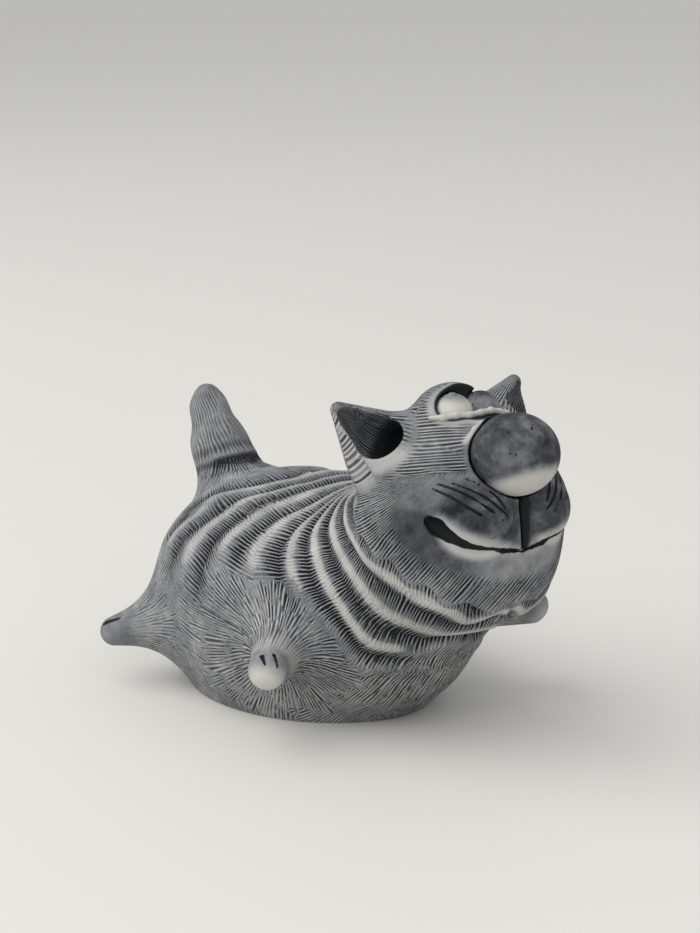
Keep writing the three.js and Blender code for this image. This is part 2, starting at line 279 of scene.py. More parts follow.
class Body:
    """The fused figure at a set of points, and the parts that other pieces are cut from."""

    def __init__(self, p):
        s = sided(p)
        self.p, self.s = p, s
        belly = egg(p, BELLY["middle"], BELLY["half"], BELLY["lower"])
        trunk = melt(belly, cone(p, *NECK), 1.5 + 4 * smooth(p[:, 2], 2, 14))
        head = melt(trunk, egg(p, HEAD, HEAD_HALF), MELT["head"])
        head = melt(head, near(p, "bridge", lambda q: cone(q, *BRIDGE)), MELT["bridge"])
        forehead = near(s, "forehead", lambda q: egg(q, FOREHEAD, FOREHEAD_HALF))
        head = melt(head, forehead, MELT["forehead"])
        head = melt(head, near(s, "chin", lambda q: cone(q, *CHIN)), MELT["chin"])
        dome = near(p, "dome", lambda q: egg(q, SOCKET_DOME, SOCKET_DOME_HALF))
        head = melt(head, dome, MELT["dome"])
        self.ear = near(s, "ear", lambda q: cone(q, *EAR))
        head = melt(head, self.ear, MELT["ear"])
        head = carve(head, near(s, "throat", lambda q: chain(q, THROAT, 0.5)), SOFT["throat"])
        self.pad = near(s, "pad", lambda q: egg(q, PAD, PAD_HALF))
        head = melt(head, self.pad, 0.25 + 2.4 * smooth(p[:, 2], 33, 36.5))
        self.mouth = near(s, "mouth", lambda q: chain(q, MOUTH, 0.3))
        head = carve(head, self.mouth, SOFT["mouth"])
        self.nose = egg(p, NOSE, NOSE_HALF)
        head = carve(head, self.nose - NOSE_GAP, SOFT["nose"])
        self.socket = near(p, "socket", eye_socket)
        head = carve(head, self.socket, SOFT["socket"])
        self.bowl = near(s, "bowl", lambda q: chain(q, EAR_BOWL, 1.2))
        head = carve(head, self.bowl, SOFT["bowl"])
        self.nostril = near(s, "nostril", lambda q: chain(q, NOSTRIL, 0.4))
        head = melt(head, self.nostril, MELT["nostril"])
        head = carve(head, cleft(p), SOFT["cleft"])
        self.whiskers = near(s, "whiskers", whisker_grooves)
        head = carve(head, self.whiskers, SOFT["whiskers"])
        self.front_paw = np.minimum(cone(p, *FRONT_PAW), cone(p, *LEFT_PAW))
        whole = melt(head, self.front_paw, MELT["front_paw"])
        self.hind_paw = cone(s, *HIND_PAW)
        whole = melt(whole, self.hind_paw, MELT["hind_paw"])
        whole = melt(whole, near(p, "tail", lambda q: chain(q, TAIL, 2)), MELT["tail"])
        hind_toe = near(s, "hind_toe", lambda q: cone(q, *HIND_SLIT))
        self.toes = np.minimum(near(s, "toes", toe_slits), hind_toe)
        self.skin = carve(whole, self.toes, SOFT["toes"])
        (ahead, up), tilt = NECK_CUT
        self.over_neck = -math.sin(tilt) * (p[:, 0] - ahead) + math.cos(tilt) * (p[:, 2] - up)

    def region(self, name):
        """Negative where the named piece owns the skin."""
        p, s = self.p, self.s
        side = p[:, 1] if "right" in name else -p[:, 1]
        if name.startswith("front") and name.endswith("paw"):
            return np.maximum(self.front_paw - 0.9, -side)
        if name.startswith("hind"):
            return np.maximum(self.hind_paw - 0.9, -side)
        if name == "tail":
            return -up_the_tail(p, TAIL_FOOT)
        if name.endswith("ear"):
            return np.maximum(np.maximum(self.ear - 0.8, EAR_FOOT - p[:, 2]), -side)
        if name.endswith("pad"):
            return np.maximum(self.pad - 0.4, -side)
        if name == "lower_jaw":
            smile = 29.0 + 4.4 * smooth(s[:, 1], 1, 11)
            return np.maximum(np.maximum(p[:, 2] - smile, JAW_BACK - p[:, 0]), -self.over_neck)
        if name == "brow":
            above = np.maximum(self.socket - 1.5, BROW_FOOT - p[:, 2])
            return np.maximum(above, p[:, 0] - BROW_FRONT)
        if name.endswith("head"):
            return np.maximum(-self.over_neck, -side)
        end = p[:, 0] if name.startswith("rear") else -p[:, 0]
        return np.maximum(np.maximum(self.over_neck, -side), end)


PAWS = ["front_right_paw", "front_left_paw", "hind_right_paw", "hind_left_paw"]
NESTED = {
    "torso": PAWS + ["tail"],
    "head": ["brow", "lower_jaw", "right_ear", "left_ear", "right_muzzle_pad", "left_muzzle_pad"],
    "lower_jaw": ["right_muzzle_pad", "left_muzzle_pad"],
}
# How deep a piece dips beside a neighbour, over what width, and how far it reaches under it.
DIP, DIP_WIDTH, TUCK = 0.3, 0.9, 1.1
# Points deeper than this under the skin are joined, one to a cell of this size.
HIDDEN_DEPTH, HIDDEN_CELL, CELLS_ACROSS = 1.0, 1.4, 400
THREADS, POINTS_A_THREAD = 4, 60000


def piece_field(name):
    """The field of one closed piece: the skin where the piece owns it, tucked under its
    neighbours beyond that."""

    def field(p):
        body = Body(p)
        reach = body.region(name)
        d = body.skin + DIP * smooth(reach, 0, DIP_WIDTH)
        for inner in NESTED.get(name, NESTED.get(name.split("_")[-1], ())):
            inside = -body.region(inner)
            d = d + DIP * smooth(inside, 0, DIP_WIDTH)
            d = np.maximum(d, inside - TUCK)
        d = np.maximum(d, reach - TUCK)
        return np.maximum(d, -p[:, 2])

    return field


# ------------------------------------------------------------------ from a field to a mesh
def sample(field, p):
    """The field at many points, in parallel."""
    parts = np.array_split(p, max(1, len(p) // POINTS_A_THREAD))
    with ThreadPoolExecutor(THREADS) as pool:
        return np.concatenate(list(pool.map(field, parts)))


def settle(field, p, steps=3):
    """Moves points onto the surface."""
    eps = 0.02
    shifts = np.float32(eps) * np.eye(3, dtype=np.float32)
    for _ in range(steps):
        d = sample(field, p)
        g = np.stack([(sample(field, p + shift) - d) / eps for shift in shifts], 1)
        slope = np.maximum((g * g).sum(1), 0.05)
        step = np.clip(d / slope, -0.3, 0.3)
        p = p - (step[:, None] * g).astype(np.float32)
    return p


def skin_mesh(field, low, high, spacing):
    """Points and quads of the field's surface inside the box."""
    block = 4
    low, high = np.asarray(low, float) - 2 * spacing, np.asarray(high, float) + 2 * spacing
    wide = spacing * block
    cells = np.ceil((high - low) / wide).astype(int) + 1
    axes = [low[i] + wide * np.arange(cells[i]) for i in range(3)]
    nodes = np.stack(np.meshgrid(*axes, indexing="ij"), -1).reshape(-1, 3).astype(np.float32)
    rough = sample(field, nodes).reshape(cells)
    band = np.abs(rough) < 2.0 * wide + 0.3

    def spread(a):
        return np.repeat(np.repeat(np.repeat(a, block, 0), block, 1), block, 2)

    fine, mask = spread(rough).astype(np.float32), spread(band)
    at = np.argwhere(mask)
    # each fine point sits in the block around its rough node
    place = (low + (at - (block - 1) / 2) * spacing).astype(np.float32)
    fine[tuple(at.T)] = sample(field, place)
    grid = openvdb.FloatGrid(4.0)
    grid.copyFromArray(fine)
    points, quads = grid.convertToQuads(0.0)
    points = (low + (np.asarray(points, float) - (block - 1) / 2) * spacing).astype(np.float32)
    return settle(field, points), np.asarray(quads)


def merge_inside(points, quads):
    """Joins the points that lie well inside the figure into a few, so hidden walls stay coarse."""
    hidden = sample(lambda p: Body(p).skin, points) < -HIDDEN_DEPTH
    cell = np.floor(points / HIDDEN_CELL).astype(np.int64) + CELLS_ACROSS // 2
    key = (cell[:, 0] * CELLS_ACROSS + cell[:, 1]) * CELLS_ACROSS + cell[:, 2]
    key = np.where(hidden, key, -1 - np.arange(len(points)))
    _, group = np.unique(key, return_inverse=True)
    size = np.bincount(group)
    merged = np.stack([np.bincount(group, points[:, i]) / size for i in range(3)], 1).astype(np.float32)
    q = group[quads]
    same = q == np.roll(q, -1, axis=1)
    folded = (q[:, 0] == q[:, 2]) | (q[:, 1] == q[:, 3])
    kept = q[(same.sum(1) == 0) & ~folded]
    corner = (same.sum(1) == 1) & ~folded
    thin = q[corner][~same[corner]].reshape(-1, 3)
    return merged, kept, thin


def to_row(p):
    """Cat's axes in millimetres to the row frame in metres."""
    return np.stack([-p[:, 1], -p[:, 0], p[:, 2]], 1).astype(float) * MM


def mesh_from(name, points, quads, thin):
    v = to_row(points)
    a, b, c, d = (v[quads[:, i]] for i in range(4))
    halves = np.einsum("ij,ij->i", a, np.cross(b, c)) + np.einsum("ij,ij->i", a, np.cross(c, d))
    if halves.sum() < 0:  # the faces point inwards
        quads, thin = quads[:, ::-1], thin[:, ::-1]
    mesh = bpy.data.meshes.new(name)
    mesh.vertices.add(len(v))
    mesh.vertices.foreach_set("co", v.astype(np.float32).ravel())
    corners = np.concatenate([quads.ravel(), thin.ravel()])
    mesh.loops.add(len(corners))
    mesh.loops.foreach_set("vertex_index", corners.astype(np.int32))
    starts = np.concatenate([np.arange(len(quads)) * 4, len(quads) * 4 + np.arange(len(thin)) * 3])
    mesh.polygons.add(len(starts))
    mesh.polygons.foreach_set("loop_start", starts.astype(np.int32))
    mesh.polygons.foreach_set("use_smooth", np.ones(len(starts), bool))
    mesh.update(calc_edges=True)
    mesh.validate()
    return mesh


def put(mesh, name, values):
    kind = "FLOAT" if values.ndim == 1 else "FLOAT_VECTOR"
    layer = mesh.attributes.new(name, kind, "POINT")
    layer.data.foreach_set("value" if kind == "FLOAT" else "vector", values.astype(np.float32).ravel())


# ------------------------------------------------------------------ which way the hair lies
def around(s, a, b):
    """Angle round, distance from and distance along the axis from a to b."""
    a, b = np.asarray(a, float), np.asarray(b, float)
    axis = (b - a) / np.linalg.norm(b - a)
    first = np.cross(axis, (0.3, 0, 1))
    first /= np.linalg.norm(first)
    second = np.cross(axis, first)
    d = s - a
    return np.arctan2(d @ second, d @ first), np.hypot(d @ second, d @ first), d @ axis


ROUND_THE_BODY = np.arange(-20, 201)


def rounded(valley, width=25):
    """A fold's line round the body with its corners rounded off."""
    line = np.interp(ROUND_THE_BODY, PLACES, valley)
    weights = np.hanning(width)
    return np.convolve(line, weights / weights.sum(), "same")


FOLD_LINES = [rounded(valley) for valley, _, _ in VALLEYS]


def spine_distance(angle, off):
    """How far outside the body's own middle line a place lies, seen from the saddle."""
    return off - 22 - 7 * smooth(-angle, 120, 168)


def fan_of_folds(p, s):
    """Fold number (whole in a valley, half on a crest), fold strength, and place round the
    body in degrees from the throat to the nape."""
    df, dz = p[:, 0] - SADDLE[0], p[:, 2] - SADDLE[1]
    angle = np.degrees(np.arctan2(dz, df))
    angle = np.where(angle > 120, angle - 360, angle)
    slow = 1.3 * np.sin(p[:, 1] * 0.55 + angle * 0.07)
    angle = angle + slow + 0.8 * np.sin(s[:, 1] * 1.1 + 2 * np.sign(p[:, 1]))
    off_spine = spine_distance(angle, np.hypot(df, dz))
    place = np.degrees(np.arctan2(s[:, 1], off_spine))
    lines = [np.interp(place, ROUND_THE_BODY, line) for line in FOLD_LINES]
    number = (lines[0] - angle) / 12
    number = np.minimum(number, 0)
    for upper, lower in zip(lines[:-1], lines[1:]):
        number = number + np.clip((upper - angle) / (upper - lower), 0, 1)
    strengths = np.stack([full * smooth(place, end - 7, end + 9) for _, end, full in VALLEYS])
    strengths = np.concatenate([np.zeros((1, len(p))), strengths, np.zeros((1, len(p)))])
    first = np.clip(np.floor(number).astype(int) + 1, 0, len(VALLEYS))
    part = np.clip(number - np.floor(number), 0, 1)
    row = np.arange(len(p))
    strength = strengths[first, row] * (1 - part) + strengths[first + 1, row] * part
    strength = strength * smooth(number, -0.75, -0.3)
    return number, strength, place, np.hypot(s[:, 1], off_spine)


CHIN_PARTING = 7.5  # half the breadth of the chin's slanting hair
CHEEK, CHEEK_FAN = (14.5, 30.5), 13.0  # where the hair of the cheek fans from, and how wide
CHEEK_LEVEL, CHEEK_STEEP = math.radians(4), math.radians(50)
# The head's hair starts this far above the neck's parting, at places round the neck.
JAW_LINE = ((0, 70, 90, 112, 150), (8.0, 8.2, 7.0, 5.0, 3.5))
# Radius of the body at each fold, and how much a wider ring adds before the strokes are doubled.
GIRTHS, GIRTH_STEP = ((0, 3, 5, 7, 9), (13.5, 14.5, 18, 20, 17)), 1.4
CROWN_FOOT, CROWN_FRONT = 43.4, 28.5
HEM_HEIGHT, HEM_FRONT, HEM_GIRTH = 3.9, 9.5, 15.0
# Each pair of paws: which one the hair is laid round, both tips, and how far and high it reaches.
HIND_TIPS = (HIND_PAW[1], (HIND_PAW[1][0], -HIND_PAW[1][1], HIND_PAW[1][2]))
PAW_PAIRS = [
    (FRONT_PAW, (FRONT_PAW[1], LEFT_PAW[1]), 11.0, 20.5),
    (HIND_PAW, HIND_TIPS, 8.5, 19),
]
FOLD_AT_PAW = 3.6  # the front paw's hair starts at this fold
BASE_WASH = 0.5


def head_hair(p):
    """Hair of the head: level above the cheek, then fanned out, then slanting down the chin."""
    side = np.abs(p[:, 1] + CHIN_PARTING) - CHIN_PARTING
    out = 0.616 * p[:, 0] - 0.788 * side - CHEEK[0]
    up = 0.974 * p[:, 2] - 0.139 * side - 0.177 * p[:, 0] - CHEEK[1]
    above = out * -np.sin(CHEEK_LEVEL) + up * np.cos(CHEEK_LEVEL)
    below = out * np.sin(CHEEK_STEEP) - up * np.cos(CHEEK_STEEP)
    turned = np.clip(np.arctan2(-up, np.maximum(-out, 0.01)), CHEEK_LEVEL, CHEEK_STEEP)
    fanned = turned * CHEEK_FAN + np.maximum(below, 0)
    across = np.where(above > 0, CHEEK_LEVEL * CHEEK_FAN - above, fanned)
    quiet = smooth(out, -3, 0) * smooth(-up, -0.3, 0.6) * (1 - smooth(-up, 9, 11))
    return across, 0.95 * np.hypot(out, up), quiet


def hair_rings(turned, off, first=2.8, growth=1.45):
    """Hair that stands out from a point. A wider ring has more strokes, so they stay as close."""
    pitch = COAT_SIZES["Hair pitch"]
    step = np.log(np.maximum(off, 0.3) / first) / math.log(growth)
    step = step + 0.3 * np.sin(turned * 7) + 0.25 * np.sin(turned * 19 + 2)
    ring = np.floor(step)
    strokes = np.round(2 * math.pi * first * growth ** (ring + 0.5) / pitch)
    across = turned / (2 * math.pi) * strokes * pitch + ring * 0.37
    return across, smooth(np.abs(step - ring - 0.5), 0.5, 0.36)


def distance(p, place):
    return np.linalg.norm(p - np.asarray(place), axis=1)


class Coat:
    """What lies on the skin at each point: hair (across, along, depth), fold (number, strength,
    contrast) and tone (wash, bare, ink_and_shade, that is wash left thick in hollows and painted
    shade)."""

    def __init__(self, points):
        self.body = Body(points)
        self.p, self.s = self.body.p, self.body.s
        self.wash = np.full(len(points), BASE_WASH)
        self.bare = np.zeros(len(points))
        self.ink_and_shade = np.zeros(len(points))
        self.lay_folds()
        self.comb_head()
        self.comb_hem()
        for pair in PAW_PAIRS:
            self.comb_paws(*pair)
        self.blacken(1 - smooth(self.body.toes, 0.0, 0.12))
        self.comb_tail()
        self.comb_ears()
        self.quieten_face()
        self.paint_lips()
        self.paint_hollows()

    def comb(self, own, edge, across, along):
        """Hair of another direction where own is positive, with a parting at its edge."""
        self.across = np.where(own > 0, across, self.across)
        self.along = np.where(own > 0, along, self.along)
        self.depth = self.depth * (0.1 + 0.9 * smooth(np.abs(own), 0, edge))

    def wipe(self, amount):
        """Wash rubbed off down to the pale body."""
        self.bare = np.maximum(self.bare, amount)

    def blacken(self, amount):
        """Darkens a hollow with wash left thick there, and with painted shade in the slit, the eye
        sockets and the ear bowl.
        """
        self.ink_and_shade = np.maximum(self.ink_and_shade, amount)

    def lay_folds(self):
        self.number, self.fold, self.place, from_spine = fan_of_folds(self.p, self.s)
        self.contrast = 1 - 0.4 * smooth(self.number, 1.8, 4.6)
        self.contrast = self.contrast * (1 - 0.25 * smooth(self.place, 95, 135))
        ripple = np.round(self.number)
        girth = np.interp(ripple, *GIRTHS)
        wider = np.log(np.maximum(from_spine, 1) / girth) / math.log(GIRTH_STEP)
        wider = np.floor(wider + 0.5 + 0.15 * np.sin(self.place * 0.9))
        girth = girth * GIRTH_STEP ** np.clip(wider, -5, 2)
        arc = 1.5 * (self.number - ripple) ** 2
        self.across = np.radians(self.place) * girth + arc
        self.along = self.number * 4.0
        self.depth = 0.25 + 0.75 * smooth(np.abs(self.number - ripple), 0.5, 0.46)
        self.depth = self.depth * (1 - 0.35 * smooth(self.number, 4, 7))

    def comb_head(self):
        """Hair that fans back from the nose, and runs backwards on the crown."""
        p = self.p
        jaw_line = np.interp(self.place, *JAW_LINE)
        own = self.body.over_neck - jaw_line - 0.5 * np.sin(self.place * 0.3)
        across, along, quiet = head_hair(p)
        self.comb(own, 0.4, across * 1.15, along)
        self.contrast = np.where(own > 0, 0.3, self.contrast)
        inward = smooth(own, 0, 2)
        self.wash = self.wash + 0.07 * inward
        self.depth = self.depth * (1 - quiet * (own > 0))
        self.wash = self.wash + 0.05 * inward * (1 - smooth(p[:, 2], 33, 39))
        crown = np.minimum(own, p[:, 2] - CROWN_FOOT - 0.3 * np.sin(p[:, 0] * 3))
        self.comb(np.minimum(crown, CROWN_FRONT - p[:, 0]), 0.4, p[:, 1], p[:, 0])
        self.fold = self.fold * (1 - smooth(own, -1.0, 0.6))

    def comb_hem(self):
        """Upright strokes above the flat base."""
        p = self.p
        hem = HEM_HEIGHT + 0.8 * np.sin(p[:, 0] * 1.3 + p[:, 1]) - p[:, 2]
        hem = np.minimum(hem, HEM_FRONT + 0.8 * np.sin(p[:, 2] * 2) - p[:, 0])
        turned = np.arctan2(p[:, 1], p[:, 0] - BELLY["middle"][0])
        self.comb(hem, 0.4, turned * HEM_GIRTH, p[:, 2] * 0.8)

    def comb_paws(self, paw, tips, reach, ceiling):
        """Hair that stands out round a pair of paws, whose tips are smooth."""
        p = self.p
        root, end, _, radius = paw
        turned, off, forth = around(self.s, root, end)
        ragged = 0.9 * np.sin(turned * 9) + 0.7 * np.sin(turned * 31 + 1)
        ragged = ragged + 0.5 * np.sin(turned * 57)
        behind = smooth(root[0] - p[:, 0], 0, 8) if paw is FRONT_PAW else 0
        own = np.minimum(reach + ragged + 3 * behind - off, forth + 5)
        own = np.minimum(own, ceiling + 0.4 * ragged - p[:, 2])
        if paw is FRONT_PAW:
            own = np.minimum(own, 3 * (self.number - FOLD_AT_PAW) + 0.4 * ragged)
        across, whole = hair_rings(turned, off)
        self.comb(own, 0.4, across, 0.3 * off)
        self.depth = self.depth * np.where(own > 0, 0.25 + 0.75 * whole, 1)
        self.depth = self.depth * np.where(own > 0, smooth(off, 1.5, 4.0), 1)
        self.fold = self.fold * smooth(-own, -2.0, 1.5)
        from_tip = np.minimum(*(distance(p, tip) for tip in tips))
        tip = 1 - smooth(from_tip, radius + 0.2, radius + 1.4)
        self.depth = self.depth * (1 - tip)
        if paw is FRONT_PAW:
            # a pale patch low on each tip, and a worn ring where the tip meets the hair
            lows = (np.asarray(t) + (1.0, math.copysign(1.2, t[1]), -1.2) for t in tips)
            patch = 1 - smooth(np.minimum(*(distance(p, low) for low in lows)), 1.4, 3.4)
            self.wipe(patch * np.where(p[:, 1] > 0, 1, 0.5))
            self.wipe(0.35 * smooth(from_tip, 2.6, 3.6) * (1 - smooth(from_tip, 4.6, 6.5)))
            self.wash = self.wash + 0.02 * tip
        else:
            self.wash = self.wash + 0.1 * tip
            self.wipe(0.25 * (1 - smooth(from_tip, 1.5, 3)))

    def comb_tail(self):
        """Hair along the tail, and two sunk rings round its root."""
        p = self.p
        turned, _, forth = around(p, TAIL[0][0], TAIL[2][0])
        up = up_the_tail(p, TAIL_HAIR_FOOT)
        rear = p[:, 0] < -10
        self.comb(np.where(rear, up, -5), 0.5, turned * 3.2, forth)
        self.depth = self.depth * np.where((up > 0) & rear, 0.75, 1)
        rings = np.exp(-(((up + 0.6) / 0.6) ** 2)) + 0.6 * np.exp(-(((up - 1.5) / 0.6) ** 2))
        self.ring = rings * rear
        on_tail = (up > 0) & (p[:, 0] < -12)
        self.number = np.where(on_tail, 9.5, self.number)
        self.fold = np.where(on_tail, 0.0, self.fold)

    def comb_ears(self):
        """Hair up the back of the ear, notches across its outer edge, and a bowl darkened with painted
        shade, darkest deepest in.
        """
        own, rim = 0.9 - self.body.ear, self.body.bowl
        turned, _, forth = around(self.s, EAR[0], EAR[1])
        spin, _, inward = around(self.s, EAR_BOWL[0][0], EAR_BOWL[2][0])
        hollow = 1 - smooth(rim, 0.05, 0.3)
        edge = smooth(turned, 0.15, 0.35) * (1 - smooth(turned, 1.0, 1.3))
        edge = edge * smooth(forth, -1.0, 0.5) * (1 - hollow)
        across = np.where(edge > 0.5, forth * 0.78 + turned * 0.6, turned * 4.2)
        across = np.where(hollow > 0.5, spin * 3.4, across)
        self.comb(own, 0.6, across, np.where(edge > 0.5, 0.5, forth * 0.6))
        self.depth = self.depth * (0.1 + 0.9 * smooth(np.abs(edge - 0.5), 0, 0.3))
        self.contrast = np.where(edge > 0.5, 1.0, self.contrast)
        # Painted shade inside the bowl, darker the deeper in.
        deep_shade = 1 - smooth(inward, 0.5, 3.6)
        self.blacken(hollow * deep_shade)
        self.wash = self.wash + 0.16 * hollow * (1 - deep_shade)
        self.depth = np.where(hollow > 0.5, 1 - deep_shade, self.depth)
        # the worn lower lip of the bowl
        lip = (1 - smooth(rim, 1.2, 2.6)) * smooth(turned, -0.9, -0.4)
        lip = lip * (1 - smooth(turned, 0.15, 0.35)) * (1 - smooth(forth, 3, 6))
        self.wipe(np.maximum(0.6 * lip, 0.45 * edge) * (1 - hollow) * (own > -3) * (rim < 6))
        self.depth = self.depth * (1 - 0.85 * lip * (rim < 6))

    def quieten_face(self):
        """No hair round the mouth, the nose and the eyes."""
        body = self.body
        self.from_corner = distance(self.s, MOUTH[0][0])
        haired = smooth(self.from_corner, 3.4, 5.6) * smooth(body.mouth, 2.8, 4.4)
        haired = haired * smooth(body.pad, 0.1, 1.6)
        haired = haired * smooth(body.nose, 0.6, 1.3) * smooth(body.socket, 0.7, 1.2)
        self.depth = self.depth * haired
        self.wash = self.wash + 0.06 * (1 - smooth(self.from_corner, 1.5, 8.5))

    def paint_lips(self):
        """A pale chin under a pale lip, darker towards the cheek, and pads bare along the bottom."""
        body, p, s = self.body, self.p, self.s
        under = smooth(29.3 + 0.42 * s[:, 1] - p[:, 2], -0.5, 0.5)
        under = smooth(p[:, 0], 27, 33) * under * smooth(body.over_neck, 0, 3)
        chin = smooth(-s[:, 1], -9, -5)
        self.wash = self.wash - 0.16 * chin * (1 - smooth(body.mouth, 2.4, 4.6)) * under
        self.wash = self.wash + 0.12 * (1 - chin) * (1 - smooth(body.mouth, 2.5, 6.0)) * under
        lip = 1 - smooth(body.mouth, 0.2, 1.2)
        self.wipe(0.2 * lip * under * smooth(self.from_corner, 4, 8))
        on_pad = 1 - smooth(body.pad, 0.2, 1.2)
        bottom = 1 - smooth(p[:, 2] + 0.25 * (p[:, 0] - 40) - 0.38 * s[:, 1], 28.4, 30.7)
        self.wipe(0.88 * on_pad * bottom)
        self.wash = self.wash + 0.2 * on_pad

    def paint_hollows(self):
        """Black in the mouth and the whisker grooves, painted shade in the slit and the sockets, pale
        on their rims.
        """
        body, p = self.body, self.p
        self.blacken(1 - smooth(body.mouth, 0.03, 0.14))
        self.blacken(0.5 * (1 - smooth(body.whiskers, 0.0, 0.1)))
        # Painted shade in the slit between the muzzle pads: dark at the slit on the near pad, and a
        # wider dark band on the far pad's wall.
        between = (p[:, 0] > 37) * (p[:, 2] < 37) * (p[:, 2] > 29)
        slit_shade = 0.9 * (1 - smooth(p[:, 1], 0.05, 0.3))
        far_wall_shade = 0.6 * (1 - smooth(-p[:, 1], 0.2, 1.6))
        self.blacken(np.where(p[:, 1] > 0, slit_shade, far_wall_shade) * between)
        self.blacken(0.9 * (1 - smooth(body.nose, 0.22, 0.4)))
        self.wipe(0.7 * (1 - smooth(body.nostril, 0.0, 0.25)))
        # Painted shade in the socket round the eyes, the dark gap under the brow hood.
        self.blacken(0.85 * (1 - smooth(body.socket, 0.1, 0.5)))
        socket_rim = smooth(body.socket, 0.25, 0.5) * (1 - smooth(body.socket, 0.6, 1.4))
        self.wipe(0.45 * socket_rim * smooth(p[:, 0], 27.5, 30.5))

    def layers(self):
        hair = np.stack([self.across, self.along, self.depth], 1)
        folds = np.stack([self.number + 0.5, self.fold, self.contrast], 1)
        tone = np.stack([self.wash + 0.25 * self.ring, self.bare, self.ink_and_shade], 1)
        return hair, folds, tone, -0.03 * self.ring


def coat_layers(points):
    return Coat(points).layers()


# ------------------------------------------------------------------ sums shared by mesh and wash
class Sums:
    """Short names for the nodes that both kinds of tree have."""

    def __init__(self, tree):
        self.tree = tree

    def node(self, kind, **settings):
        n = self.tree.nodes.new(kind)
        for key, value in settings.items():
            setattr(n, key, value)
        return n

    def feed(self, socket, value):
        if isinstance(value, bpy.types.NodeSocket):
            self.tree.links.new(value, socket)
        else:
            socket.default_value = value

    def do(self, operation, a, b=0.0, c=0.0, clamp=False):
        n = self.node("ShaderNodeMath", operation=operation, use_clamp=clamp)
        for socket, value in zip(n.inputs, (a, b, c)):
            self.feed(socket, value)
        return n.outputs[0]

    def plus(self, *values):
        total = values[0]
        for value in values[1:]:
            total = self.do("ADD", total, value)
        return total

    def times(self, *values):
        total = values[0]
        for value in values[1:]:
            total = self.do("MULTIPLY", total, value)
        return total

    def less(self, a, b):
        return self.do("SUBTRACT", a, b)

    def ramp(self, value, low, high, to_low=0.0, to_high=1.0):
        n = self.node("ShaderNodeMapRange", interpolation_type="SMOOTHSTEP")
        for socket, v in zip(n.inputs, (value, low, high, to_low, to_high)):
            self.feed(socket, v)
        return n.outputs[0]

    def split(self, vector):
        n = self.node("ShaderNodeSeparateXYZ")
        self.feed(n.inputs[0], vector)
        return n.outputs

    def join(self, x, y, z):
        n = self.node("ShaderNodeCombineXYZ")
        for socket, v in zip(n.inputs, (x, y, z)):
            self.feed(socket, v)
        return n.outputs[0]

    def noise(self, vector, scale, detail=2.0, rough=0.5):
        n = self.node("ShaderNodeTexNoise")
        self.feed(n.inputs["Vector"], vector)
        self.feed(n.inputs["Scale"], scale)
        self.feed(n.inputs["Detail"], detail)
        self.feed(n.inputs["Roughness"], rough)
        return n.outputs[0]

    def chance(self, x, y, z):
        n = self.node("ShaderNodeTexWhiteNoise", noise_dimensions="3D")
        self.feed(n.inputs["Vector"], self.join(x, y, z))
        return n.outputs[0]


def combed_coat(m, hair, folds, place, pitch, length, seed):
    """Sums for the coat: groove 0 to 1, ridge 0 to 1, crest 0 to 1, valley 0 to 1."""
    across, along, depth = m.split(hair)
    number, fold, contrast = m.split(folds)
    side = m.do("GREATER_THAN", m.split(place)[0], 0.0)  # the two sides have different strokes
    wander = m.noise(m.join(across, m.times(along, 0.5), m.plus(seed, side)), 0.4, 1.0)
    row = m.plus(m.do("DIVIDE", across, pitch), m.times(m.less(wander, 0.5), 2.6))
    cell = m.do("FLOOR", row)
    from_middle = m.do("ABSOLUTE", m.less(m.do("FRACT", row), 0.5))
    luck = m.chance(cell, m.do("ROUND", m.less(number, 0.5)), m.plus(side, seed))
    crest = m.do("ABSOLUTE", m.do("COSINE", m.times(number, math.pi)))
    # strokes that cross a valley, each of its own length
    end = m.plus(0.6, m.times(luck, 0.48))
    crossing = m.times(m.ramp(crest, end, m.less(end, 0.35)), m.plus(0.75, m.times(luck, 0.25)))
    # loose strokes that follow one another along a row
    stroke = m.plus(m.do("DIVIDE", along, length), m.times(m.chance(cell, side, seed), 7.3))
    second = m.chance(cell, m.do("FLOOR", stroke), m.plus(seed, 2.0))
    part = m.do("FRACT", stroke)
    begin = m.times(second, 0.16)
    loose = m.times(m.ramp(part, begin, m.plus(begin, 0.12)), m.ramp(part, 1.0, 0.86))
    loose = m.times(loose, m.plus(0.55, m.times(second, 0.45)))
    bound = m.times(fold, m.plus(0.25, m.times(contrast, 0.75)))
    gate = m.plus(m.times(crossing, fold), m.times(loose, m.less(1.0, bound)))
    faint = m.plus(0.16, m.times(luck, 0.2))
    gate = m.times(m.do("MAXIMUM", m.do("MINIMUM", gate, 1.0), faint), depth)
    width = m.plus(0.22, m.times(gate, 0.14))
    groove = m.times(m.ramp(from_middle, width, m.times(width, 0.4)), gate)
    ridge = m.times(m.ramp(from_middle, 0.3, 0.48), gate)
    high = m.times(m.do("POWER", crest, 0.8), fold)
    low = m.times(m.less(1.0, crest), fold)
    return groove, ridge, high, low


